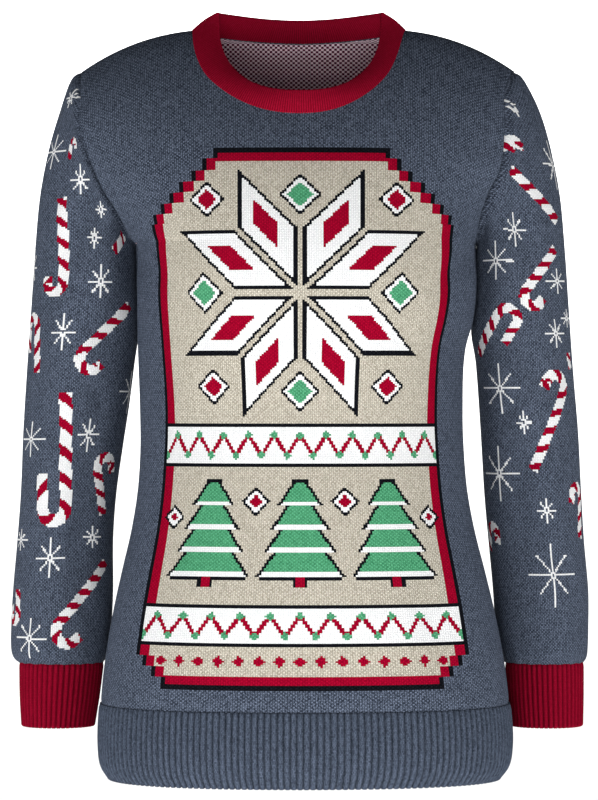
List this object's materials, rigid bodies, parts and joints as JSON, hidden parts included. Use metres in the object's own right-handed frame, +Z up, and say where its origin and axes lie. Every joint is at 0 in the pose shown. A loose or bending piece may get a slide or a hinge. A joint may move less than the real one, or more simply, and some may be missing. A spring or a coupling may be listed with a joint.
{
  "type": "christmas sweater",
  "caption": "Hollow worn crew-neck christmas sweater in jacquard knit, with set-in long sleeves, ribbed neckband, ribbed cuffs and ribbed hem.",
  "frame": {"origin": "on the middle plane, level with the shoulder seams where they meet the neckband, which is where the wearer's shoulders hold the sweater", "axes": "+Z up along the body, the front faces -Y, the wearer's left sleeve is at +X"},
  "size_m": [0.5127, 0.2338, 0.6744],
  "materials": {
    "slate_jacquard": "matte jacquard knit, slate blue melange with oatmeal, white, red and green yarns",
    "slate_rib": "matte ribbed knit, slate blue melange",
    "red_rib": "matte ribbed knit, deep red"
  },
  "bodies": {
    "root": {"front_panel": "slate_jacquard", "back_panel": "slate_jacquard", "sleeve_right": "slate_jacquard", "sleeve_left": "slate_jacquard", "neckband": "red_rib", "cuff_right": "red_rib", "cuff_left": "red_rib", "hem_rib_front": "slate_rib", "hem_rib_back": "slate_rib"}
  },
  "joints": []
}
